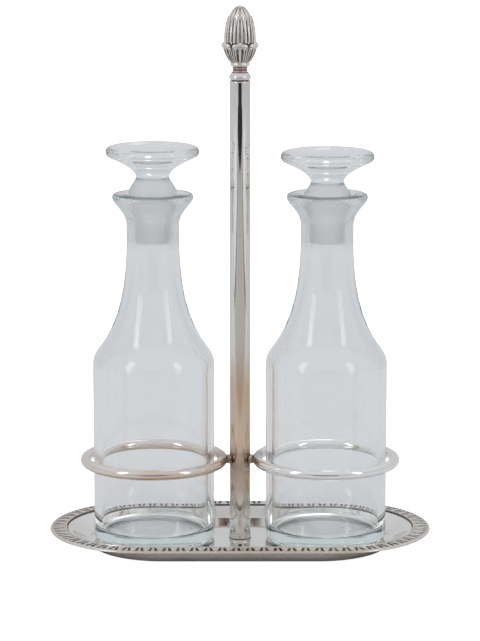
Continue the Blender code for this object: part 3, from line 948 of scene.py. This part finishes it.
@dataclass
class BottleRing(Fitter):
    """One bottle ring of round wire, and the brazed stub that carries it."""

    side: Side = Side.LEFT
    turns: int = 192
    section_steps: int = 32
    stub_steps: int = 40
    stub_flare: float = 0.0031
    stub_waist: float = 0.0023
    joint_gap: float = 0.00005

    def __post_init__(self) -> None:
        """Read the ring's place from its CAD box."""
        low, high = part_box(self.side.node("ring"))
        self.centre = (low + high) / 2.0
        self.wire = (high.z - low.z) / 2.0
        self.radius = (high.y - low.y) / 2.0 - self.wire

    def build(self) -> None:
        """Make the ring and its stub."""
        self.make_ring()
        self.make_stub()

    def make_ring(self) -> None:
        """Bend the wire, very slightly out of true as a hand-bent ring is."""
        around = np.arange(self.turns) * 2.0 * math.pi / self.turns
        about = np.arange(self.section_steps) * 2.0 * math.pi / self.section_steps
        swell = self.wire * (0.990 + 0.008 * np.cos(3.0 * around + 0.6))
        rings = np.empty((self.turns, self.section_steps, 3))
        reach = self.radius + swell[:, None] * np.cos(about)
        rings[:, :, 0] = self.centre.x + reach * np.cos(around)[:, None]
        rings[:, :, 1] = reach * np.sin(around)[:, None]
        rings[:, :, 2] = self.centre.z + swell[:, None] * np.sin(about)
        near = self.centre.x - self.side.value * self.radius
        torch = (ScorchAndReflection((near, 0.0, self.centre.z), 0.013, 0.85),)
        if self.side is Side.LEFT:
            finish = SilverPlate(
                "ring_left_silver", silver=(0.87, 0.83, 0.80),
                tarnish_and_shade=(0.63, 0.43, 0.28), patches=0.30, roughness=0.08, scorches_and_reflection=torch,
                fades=(Fade("X", -0.085, -0.030, 0.22),
                       # The Z fade is painted reflection: it browns the lower half of the
                       # wire to the warm colour it reflects from below.
                       Fade("Z", self.centre.z + 0.001, self.centre.z - 0.003, 0.66)))
        else:
            finish = SilverPlate(
                "ring_right_silver", silver=(0.92, 0.92, 0.90),
                tarnish_and_shade=(0.62, 0.50, 0.42), patches=0.10, roughness=0.07, scorches_and_reflection=torch)
        self.fit(skin(self.side.node("ring_wire"), rings, True), finish,
                 self.side.node("ring"))

    def make_stub(self) -> None:
        """Cast the stub: a waisted boss saddled on the tube and on the wire."""
        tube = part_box("column_tube")[1].x + self.joint_gap
        wire = self.wire + self.joint_gap
        angles = np.arange(self.stub_steps) * 2.0 * math.pi / self.stub_steps
        rings = np.empty((9, self.stub_steps, 3))
        for ring, share in zip(rings, np.linspace(0.0, 1.0, len(rings))):
            waist = self.stub_waist + (self.stub_flare - self.stub_waist) * (
                2.0 * share - 1.0) ** 2
            flat, tall = waist * np.cos(angles), min(waist, 0.95 * wire) * np.sin(angles)
            on_tube = np.sqrt(tube ** 2 - flat ** 2)
            to_wire = np.sqrt(np.maximum(wire ** 2 - tall ** 2, 0.0))
            on_ring = abs(self.centre.x) - np.sqrt((self.radius + to_wire) ** 2 - flat ** 2)
            ring[:, 0] = self.side.value * (on_tube + share * (on_ring - on_tube))
            ring[:, 1] = flat
            ring[:, 2] = self.centre.z + tall
        self.fit(skin(self.side.node("stub_brazed"), rings, False), SilverPlate(
            "stub_silver", silver=(0.55, 0.46, 0.40), tarnish_and_shade=(0.16, 0.11, 0.085),
            patches=0.85, roughness=0.24, wave=0.0002), self.side.node("ring_stub"))


# ---- finial --------------------------------------------------------------------------

@dataclass
class Finial(Fitter):
    """The finial: turned collar, cup of turned-over leaves, and leaf bud."""

    bore: float = 0.0023
    neck: float = 0.00385
    collar_steps: int = 72
    cup_leaves: int = 6
    cup_steps: int = 48
    cup_foot: float = 0.0050
    tongue_at: float = 16.5
    edge_at: float = 26.0
    bud_leaves: int = 12
    bud_steps: int = 28
    bud_rows: int = 96
    lip_roll: float = 0.0010
    tip_rise: float = 0.0008
    carving: float = 0.00055

    def build(self) -> None:
        """Make the finial's three pieces."""
        self.make_collar()
        self.make_cup()
        self.make_bud()

    def fit_cast(self, item: Item, node: str) -> None:
        """Fit a piece of cast silver plate with oxide in its carving."""
        self.fit(item, SilverPlate(
            "finial_silver", silver=(0.87, 0.83, 0.79),
            tarnish_and_shade=(0.62, 0.48, 0.40), oxide=(0.075, 0.055, 0.045), patches=0.25,
            roughness=0.24), node)

    def make_collar(self) -> None:
        """Turn the collar, with two beads round its thin neck."""
        low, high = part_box("finial_collar")
        wide, neck, rise = high.x, self.neck, high.z - low.z
        outline = eased([
            (self.bore, 0.0, 0.0), (wide - 0.0010, 0.0, 0.0),
            (wide - 0.0007, 0.0004, 0.0002), (wide - 0.0003, 0.0006, 0.0002),
            (wide, 0.28 * rise, 0.0005), (wide - 0.0005, 0.40 * rise, 0.0005),
            (neck + 0.0003, 0.62 * rise, 0.0005), (neck - 0.0003, 0.68 * rise, 0.0003),
            (neck + 0.0002, 0.76 * rise, 0.0003), (neck - 0.0004, 0.84 * rise, 0.0002),
            (neck + 0.0002, 0.92 * rise, 0.0003), (neck - 0.0002, rise, 0.0),
            (self.bore, rise, 0.0)])
        item = turned("finial_socket", outline, (0.0, 0.0), low.z, self.collar_steps)
        self.fit(item, SilverPlate(
            "collar_silver", silver=(0.82, 0.80, 0.78),
            tarnish_and_shade=(0.66, 0.48, 0.44), patches=0.22, roughness=0.14,
            fades=(Fade("Z", low.z + 0.5 * rise, low.z + 0.66 * rise, 0.8),),
            seams=(Seam(low.z + 0.0002, 0.0004, 0.75),
                   Seam(low.z + 0.60 * rise, 0.0003, 0.7),
                   Seam(low.z + 0.79 * rise, 0.0004, 0.8), Seam(high.z, 0.0004, 0.9))),
            "finial_collar")

    def make_cup(self) -> None:
        """Carve the cup: each leaf has edge ribs, two tongues and a middle rib."""
        low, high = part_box("finial_calyx")
        lip, foot = high.x - self.lip_roll, self.cup_foot
        rise = high.z - low.z
        count = self.cup_leaves * self.cup_steps
        part = np.mod(np.arange(count) + 0.5 + self.cup_steps / 2.0, self.cup_steps)
        leaf_half = 180.0 / self.cup_leaves
        off = np.abs(part / self.cup_steps - 0.5) * 2.0 * leaf_half
        ribs = (0.60 * peak(off, 5.0) + 0.55 * peak(off - self.tongue_at, 2.7)
                + 0.85 * peak(off - self.edge_at, 2.6))
        gap = peak(off - leaf_half, 1.7)
        carved = ribs - gap - 0.35
        hollow = np.clip(0.95 - 1.6 * ribs + gap, 0.0, 1.0)
        pile = Pile(Path(0.0, 1.0, count))
        pile.add(self.bore, low.z)
        for radius, height in eased([
                (self.bore, 0.0, 0.0), (foot - 0.0008, 0.0, 0.0002), (foot, 0.0007, 0.0005),
                (foot, 0.0016, 0.0004), (foot - 0.0002, 0.0020, 0.0)], closed=False)[1:]:
            pile.add(radius, low.z + height)
        start = (foot - 0.0002, low.z + 0.0021)
        wall = [start] + bezier(
            start, (foot + 0.0013, low.z + 0.34 * rise),
            (lip - 0.0008, low.z + 0.52 * rise), (lip - 0.0002, low.z + 0.84 * rise), 26)
        for index, (radius, height) in enumerate(wall):
            share = index / (len(wall) - 1)
            grown = min(1.0, share / 0.12)
            scallop = 0.05 * np.cos(
                (off - self.tongue_at) / (leaf_half - self.tongue_at) * math.pi)
            arch = share_of(0.97 - share - scallop, 0.08)
            depth = self.carving * grown * (0.45 + 0.55 * arch)
            pile.add(radius + carved * depth, height,
                     hollow * grown * arch + 0.9 * (share < 0.03))
        lobe = 1.0 - (off / leaf_half) ** 7
        share = 0.30 + 0.70 * lobe
        crest = peak(off, 7.0)
        for turn in np.linspace(-80.0, 150.0, 14):
            across, up = math.cos(math.radians(turn)), math.sin(math.radians(turn))
            roll = self.lip_roll * share
            pile.add(lip + (roll * across - 0.0004 * crest) * share,
                     low.z + 0.90 * rise + roll * up * 0.95
                     + self.tip_rise * crest * (0.3 + 0.7 * max(up, 0.0))
                     - 0.0012 * (1.0 - lobe),
                     np.clip(1.1 * (1.0 - lobe) + 0.8 * (turn < -60.0) + (turn > 120.0),
                             0, 1))
        for radius in (lip - 0.0016, self.bore):
            pile.add(radius, high.z - 0.0018, 0.9)
        self.fit_cast(pile.skinned("finial_cup", crease=70.0), "finial_calyx")

    def bud_relief(self, off: np.ndarray, rise: float) -> tuple[np.ndarray, np.ndarray]:
        """Shape one level of the bud.

        Args:
            off: distance from the nearest outer leaf's middle, from 0 to 1; the inner
                leaves show half way between the outer ones.
            rise: the level, from 0 at the cup to 1 at the tip.

        Returns:
            The height of each point as a share of the carving, and its recess.
        """
        outer_width = 0.80 * math.sqrt(max(0.0, 1.0 - (max(rise - 0.34, 0.0) / 0.36) ** 2))
        inner_width = 0.92 * math.sqrt(max(0.0, 1.0 - (max(rise - 0.64, 0.0) / 0.34) ** 2))
        opposite = 1.0 - off
        inner = below(opposite - inner_width, 0.05)
        height = 0.35 * inner + 0.036 * peak(opposite, 0.16) * (rise > 0.55)
        dark = 0.85 * (1.0 - inner) * (rise < 0.97)
        if outer_width > 0.0:
            leaf = below(off - outer_width, 0.04)
            hem = peak(off - outer_width + 0.20, 0.12)
            crease = peak(off, 0.19, 4) * min(1.0, outer_width * 1.6)
            height = height * (1.0 - leaf) + leaf * (0.85 + 0.35 * hem - 0.75 * crease)
            dark = dark * (1.0 - leaf) + leaf * 0.9 * crease * (1.0 - hem)
            dark = np.maximum(dark, peak(off - outer_width - 0.10, 0.10))
        return height, np.clip(dark, 0.0, 1.0)

    def make_bud(self) -> None:
        """Carve the bud: twelve creased outer leaves over smoother inner ones."""
        low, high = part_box("finial_bud")
        wide, rise = high.x - 0.0006, high.z - low.z
        count = self.bud_leaves * self.bud_steps
        off = np.abs(np.mod((np.arange(count) + 0.5) / self.bud_steps + 0.5, 1.0) - 0.5) * 2.0
        side = [(self.bore, low.z), (wide, low.z)] + bezier(
            (wide, low.z), (wide + 0.0004, low.z + 0.43 * rise),
            (0.70 * wide, low.z + 0.94 * rise), (0.0, high.z - 0.0002), self.bud_rows)
        pile = Pile(Path(0.0, 1.0, count))
        for radius in (0.0, self.bore):
            pile.add(radius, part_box("tie_rod")[1].z + 0.0001)
        for radius, height in side:
            relief, dark = self.bud_relief(off, (height - low.z) / rise)
            cut = min(1.0, radius / (0.35 * wide)) * (radius > self.bore)
            pile.add(radius + (relief - 0.45) * self.carving * cut, height, dark * cut)
        self.fit_cast(pile.skinned("finial_leaves", False, 70.0), "finial_bud")


# ---- glass ---------------------------------------------------------------------------

@dataclass
class Glassware(Fitter):
    """What a bottle and a stopper share: a side, and a place and size from a CAD box."""

    side: Side = Side.LEFT
    facing_up: ClassVar[float] = 0.7
    top_reach: ClassVar[float] = 0.0008
    grind_fade: ClassVar[float] = 0.002

    def take_place(self, stem: str) -> None:
        """Read the place and size of this side's piece, and name its body.

        Args:
            stem: the CAD node's name without its side.
        """
        self.body = self.side.node(stem)
        low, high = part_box(self.body)
        self.centre = ((low.x + high.x) / 2.0, 0.0)
        self.low_z, self.top_z = low.z, high.z
        self.radius = (high.x - low.x) / 2.0

    def grind(self, item: Item, low: float, high: float, inside: bool) -> None:
        """Mark the ground zone of the piece, for its finish to read.

        Args:
            item: the glass piece.
            low: the height where grinding starts to show.
            high: the height where it ends.
            inside: whether only what faces the axis, and the flat top, is ground.
        """
        marks = []
        for vert in item.data.vertices:
            place, normal = vert.co, vert.normal
            inward = (place.x - self.centre[0]) * normal.x + place.y * normal.y < 0.0
            inward |= normal.z > self.facing_up and place.z > high - self.top_reach
            share = min(max((place.z - low) / self.grind_fade, 0.0), 1.0)
            marks.append(share * (place.z < high + 1e-5) * (inward or not inside))
        layer = item.data.attributes.new("ground", "FLOAT", "POINT")
        layer.data.foreach_set("value", marks)


@dataclass
class Bottle(Glassware):
    """One bottle: straight body, curved shoulder, hollow neck and flared lip."""

    body_height: float = 0.0935
    wall: float = 0.0040
    base: float = 0.0060
    base_dome: float = 0.0004
    bowl_run: float = 0.0028
    bowl_rise: float = 0.0036
    base_kick: float = 0.0005
    base_corner: float = 0.0030
    shoulder_rise: float = 0.0098
    shoulder_share: float = 0.246
    shoulder_lean: float = 0.72
    neck_rise: float = 0.0547
    neck_radius: float = 0.0137
    neck_length: float = 0.0085
    bore: float = 0.0095
    lip_radius: float = 0.0210
    lip_edge: float = 0.0020
    mouth: float = 0.0137
    funnel: float = 0.0104
    ground_depth: float = 0.0290
    steps: int = 160

    def build(self) -> None:
        """Blow the bottle."""
        self.take_place("bottle")
        item = turned(self.side.node("bottle_clear"), self.outline(), self.centre,
                      self.low_z, self.steps, looped=False, crease=60.0)
        self.grind(item, self.top_z - self.ground_depth, self.top_z, True)
        self.fit(item, PressedGlass("bottle_glass"), self.body)

    def side_curve(self, body: float, neck: float, drop: float) -> list[Point2]:
        """Return the curve from straight side to neck.

        Args:
            body: radius of the straight side.
            neck: radius of the neck.
            drop: how far the shoulder is lowered, as it is inside the glass.

        Returns:
            Points upward, as (radius, height above the base).
        """
        start = (body, self.body_height - drop)
        turn = (body - self.shoulder_share * (body - neck),
                self.body_height + self.shoulder_rise - drop)
        end = (neck, self.body_height + self.shoulder_rise + self.neck_rise)
        low, high = 0.3 * self.shoulder_rise, 0.23 * self.neck_rise
        points = [start]
        points += bezier(start, (body, start[1] + 0.45 * self.shoulder_rise),
                         (turn[0] + self.shoulder_lean * low, turn[1] - low), turn, 12)
        points += bezier(turn, (turn[0] - self.shoulder_lean * high, turn[1] + high),
                         (neck, end[1] - 0.44 * self.neck_rise), end, 24)
        return points

    def outline(self) -> list[Point2]:
        """Return the section: up the inside, over the lip and down the outside."""
        inner = self.radius - self.wall
        height = self.top_z - self.low_z
        lip_z = height - self.lip_edge
        slope = (self.mouth - self.bore) / self.funnel
        floor = (inner - self.bowl_run, self.base)
        inside = [(0.0, self.base + self.base_dome)]
        inside += bezier(inside[0], (0.4 * floor[0], self.base + self.base_dome),
                         (0.7 * floor[0], self.base), floor, 8)
        inside += bezier(floor, (inner - 0.35 * self.bowl_run, self.base),
                         (inner, self.base + 0.35 * self.bowl_rise),
                         (inner, self.base + self.bowl_rise), 16)
        inside += [(inner, self.base + 0.4 * self.body_height)]
        inside += self.side_curve(inner, self.bore, 0.45 * self.wall)
        edge = eased([inside[-1] + (0.0,), (self.bore, height - self.funnel, 0.0015),
                      (self.mouth - 0.0006 * slope, height - 0.0006, 0.0006),
                      (self.mouth + 0.0006, height, 0.0005),
                      (self.lip_radius - self.lip_edge, height, 0.0)], closed=False)[1:]
        edge += arc((self.lip_radius - self.lip_edge, lip_z), self.lip_edge, 90, 0, 8)[1:]
        lip_foot = self.body_height + self.shoulder_rise + self.neck_rise + self.neck_length
        rise = lip_z - lip_foot
        outside = bezier(edge[-1], (self.lip_radius, lip_z - 0.22 * rise),
                         (self.neck_radius, lip_foot + 0.5 * rise),
                         (self.neck_radius, lip_foot), 16)
        outside += self.side_curve(self.radius, self.neck_radius, 0.0)[::-1]
        outside += [(self.radius, 0.4 * self.body_height)]
        rim = self.radius - self.base_corner
        outside += arc((rim, self.base_corner), self.base_corner, 0, -90, 8)
        outside += bezier(outside[-1], (rim - 0.0012, 0.0), (rim - 0.0014, self.base_kick),
                          (rim - 0.0030, self.base_kick), 6)
        return inside + edge + outside + [(0.0, self.base_kick)]


@dataclass
class Stopper(Glassware):
    """One stopper: dished disc, flared stem, waist, knob and ground plug."""

    seat_depth: float = 0.0024
    seat_slope: float = 0.404
    plug: float = 0.0092
    plug_taper: float = 0.0005
    plug_ease: float = 0.0006
    seat_radius: float = 0.01243
    knob_rise: float = 0.0086
    waist: float = 0.0086
    flare_rise: float = 0.0100
    disc_edge: float = 0.0056
    dish: float = 0.0028
    depth: float = 0.9
    steps: int = 144

    def build(self) -> None:
        """Press the stopper and grind its plug."""
        self.take_place("stopper")
        item = turned(self.side.node("stopper_clear"), self.outline(), self.centre,
                      self.low_z, self.steps, looped=False, crease=50.0)
        waist_z = self.top_z - self.disc_edge - self.flare_rise
        self.grind(item, self.low_z - 0.002, waist_z - 0.0001, False)
        self.fit(item, PressedGlass("stopper_glass", depth=self.depth), self.body)

    def outline(self) -> list[Point2]:
        """Return the section, down from the middle of the disc."""
        top = self.top_z - self.low_z
        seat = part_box(self.side.node("bottle"))[1].z - self.seat_depth - self.low_z
        rim = top - self.disc_edge
        head = rim - self.flare_rise
        knob = head - self.knob_rise
        round_edge = self.disc_edge / 2.0
        shelf = self.radius - 1.6 * round_edge
        points = [(0.0, top - self.dish)]
        points += bezier(points[0], (0.6 * shelf, top - self.dish),
                         (0.88 * shelf, top - 0.55 * self.dish), (shelf, top - 0.0002), 14)
        points += arc((self.radius - round_edge, rim + round_edge), round_edge, 84, -62, 12)
        points += bezier(points[-1], (0.62 * self.radius, rim - 0.32 * self.flare_rise),
                         (self.waist + 0.0006, head + 0.34 * self.flare_rise),
                         (self.waist + 0.0001, head + 0.0004), 18)
        points += [(self.waist - 0.0001, head), (self.waist, head - 0.0004)]
        points += bezier(points[-1], (self.waist + 0.0009, head - 0.35 * self.knob_rise),
                         (self.seat_radius, knob + 0.35 * self.knob_rise),
                         (self.seat_radius, knob), 10)
        points += [(self.seat_radius, seat)] if knob > seat + 1e-4 else []
        foot = seat - (self.seat_radius - self.plug) / self.seat_slope
        tip = self.plug - self.plug_taper
        return points + [(self.plug, foot), (tip, self.plug_ease),
                         (tip - self.plug_ease, 0.0), (0.0, 0.0)]


# ---- studio --------------------------------------------------------------------------

@dataclass
class Studio:
    """White sweep, even light from a pale room, and the camera."""

    distance: float = 1.450
    eye_height: float = 0.4005
    aim_height: float = 0.1190
    lens: float = 159.6
    sensor: float = 36.0
    white: Colour = (1.0, 1.0, 1.0)
    room: Colour = (0.60, 0.605, 0.62)
    front: Colour = (0.56, 0.56, 0.57)
    low_front: Colour = (0.48, 0.40, 0.33)
    overhead: Colour = (0.70, 0.71, 0.73)
    front_band: Point2 = (-0.1, -0.9)
    overhead_band: Point2 = (0.25, 0.8)
    low_band: Point2 = (-0.02, -0.25)
    near_band: Point2 = (0.1, -0.4)
    sheet: Colour = (0.90, 0.90, 0.91)
    floor_glow: float = 0.90
    floor_half: float = 4.0
    floor_gap: float = 0.0002
    stand_black: Colour = (0.02, 0.02, 0.022)
    stand_place: float = 1.42
    stand_height: float = 0.34
    stand_half: float = 0.70
    # The grey mat's colour is painted shade: the shaded floor in front of the set.
    floor_shade_grey: Colour = (0.62, 0.59, 0.56)
    mat_half: float = 0.58
    mat_edge: float = 0.08
    mat_near: float = 0.30
    mat_far: float = 3.90
    bounces: int = 28
    lamp_size: tuple[float, float] = (0.24, 1.10)

    def build(self) -> None:
        """Make the camera, the floor, the room and the lamps."""
        bpy.context.scene.view_settings.view_transform = "Standard"
        self.let_light_through()
        self.make_camera()
        self.make_floor()
        self.make_stand()
        self.make_room()
        self.make_lamps()

    def let_light_through(self) -> None:
        """Let light pass through all the walls of the glass before it is cut off."""
        light = bpy.context.scene.cycles
        light.max_bounces = light.transmission_bounces = self.bounces
        light.glossy_bounces = self.bounces // 2

    def make_camera(self) -> None:
        """Set the camera level with the set's top third, looking slightly down."""
        lens = bpy.data.cameras.new("camera")
        lens.lens, lens.sensor_width = self.lens, self.sensor
        lens.clip_start, lens.clip_end = 0.05, 50.0
        camera = show("camera", lens)
        camera.location = (0.0, -self.distance, self.eye_height)
        aim = Vector((0.0, 0.0, self.aim_height)) - camera.location
        camera.rotation_euler = aim.to_track_quat("-Z", "Y").to_euler()
        bpy.context.scene.camera = camera

    def card(self, name: str, faces: Sequence[Sequence[Corner]], colour: Colour,
             roughness: float) -> tuple[Item, NodePaint]:
        """Put up flat faces for the stage.

        Args:
            name: the object's name.
            faces: the corners of each face, as X, Y and height over the set's foot.
            colour: the surface's colour.
            roughness: the surface's roughness.

        Returns:
            The object, already in the stage, and its paint.
        """
        corners = [(x, y, CAD_BOX[0].z + z) for face in faces for x, y, z in face]
        ends = np.cumsum([len(face) for face in faces])
        mesh = bpy.data.meshes.new(name)
        mesh.from_pydata(corners, [], [tuple(range(end - len(face), end))
                                       for face, end in zip(faces, ends)])
        paint = NodePaint(name)
        paint.surface(Base_Color=colour, Roughness=roughness)
        mesh.materials.append(paint.material)
        item = show(name, mesh)
        return item, paint

    @staticmethod
    def strip(height: float, near: float, far: float, left: float,
              right: float) -> list[Corner]:
        """Return the corners of a level strip that runs toward the camera."""
        return [(left, -near, height), (right, -near, height), (right, -far, height),
                (left, -far, height)]

    @staticmethod
    def only_mirrored(item: Item) -> None:
        """Let an item show in reflections only."""
        item.visible_camera = item.visible_shadow = False
        item.visible_transmission = item.visible_diffuse = False

    def make_floor(self) -> None:
        """Lay a broad white sheet under the set."""
        half = self.floor_half
        paint = self.card("floor", [self.strip(-self.floor_gap, -half, half, -half, half)],
                          self.sheet, 1.0)[1]
        paint.surface(Specular_IOR_Level=0.0)
        body = paint.shader.outputs["BSDF"]
        glow = paint.join("ShaderNodeEmission", self.white, self.floor_glow)
        lit = paint.join("ShaderNodeAddShader", body, glow)
        paint.feed(paint.output.inputs["Surface"], paint.join(
            "ShaderNodeMixShader", paint.join("ShaderNodeLightPath"), body, lit))

    def make_stand(self) -> None:
        """Stand a dark panel under the camera, and lay a grey sheet of painted floor shade
        with dark edges.
        """
        half, reach = self.stand_half, (self.mat_near, self.mat_far)
        edge = self.mat_half + self.mat_edge
        right = [(0.10, 0.001), (half, 0.015), (0.96 * half, 0.030), (0.70 * half, 0.09),
                 (0.68 * half, self.stand_height)]
        panel = [(x, -self.stand_place, z)
                 for x, z in right + [(-x, z) for x, z in reversed(right)]]
        edges = [self.strip(0.001, *reach, side.value * self.mat_half, side.value * edge)
                 for side in Side]
        # The grey mat is painted shade: a sheet standing for the shaded floor in front of the
        # set, seen in reflections only.
        shade_sheet = self.strip(0.0005, *reach, -self.mat_half, self.mat_half)
        for name, faces, colour, roughness in (
                ("camera_stand", [panel, *edges], self.stand_black, 0.6),
                ("floor_shade_sheet", [shade_sheet], self.floor_shade_grey, 1.0)):
            self.only_mirrored(self.card(name, faces, colour, roughness)[0])

    def make_room(self) -> None:
        """Light the set with a pale room that is dimmer in front and low."""
        world = bpy.data.worlds.new("room")
        world.use_nodes = True
        tree = NodeTree(world.node_tree)
        tree.tree.nodes.clear()
        split = tree.add("ShaderNodeSeparateXYZ", Vector=tree.join("ShaderNodeTexCoord"))
        away, up = split.outputs["Y"], split.outputs["Z"]
        room = tree.blend(tree.remap(away, *self.front_band), self.room, self.front)
        room = tree.blend(tree.remap(up, *self.overhead_band), room, self.overhead)
        low_front = tree.maths("MULTIPLY", tree.remap(up, *self.low_band),
                               tree.remap(away, *self.near_band))
        room = tree.blend(low_front, room, self.low_front)
        tree.add("ShaderNodeOutputWorld", Surface=tree.join(
            "ShaderNodeMixShader", tree.join("ShaderNodeLightPath"),
            tree.join("ShaderNodeBackground", room),
            tree.join("ShaderNodeBackground", self.white)))
        bpy.context.scene.world = world

    def make_lamps(self) -> None:
        """Hang three soft boxes: one on each side in front and one high behind."""
        for name, place, power in (("soft_left", (-1.2, -0.9, 0.85), 2.4),
                                   ("soft_right", (1.25, -0.95, 0.80), 2.0),
                                   ("soft_back", (0.15, 1.5, 1.9), 0.8)):
            lamp = bpy.data.lights.new(name, "AREA")
            lamp.shape, lamp.size, lamp.size_y = "RECTANGLE", *self.lamp_size
            lamp.energy = power
            item = show(name, lamp)
            item.location = place
            item.rotation_euler = (-Vector(place)).to_track_quat("-Z", "Y").to_euler()


def main() -> None:
    """Build every sub-assembly of the cruet set, then the studio."""
    logging.basicConfig(level=logging.INFO, format="%(message)s")
    Tray().build()
    Column().build()
    Finial().build()
    for side in Side:
        BottleRing(side=side).build()
        Bottle(side=side).build()
        Stopper(side=side).build()
    Studio().build()


if __name__ == "__main__":
    main()
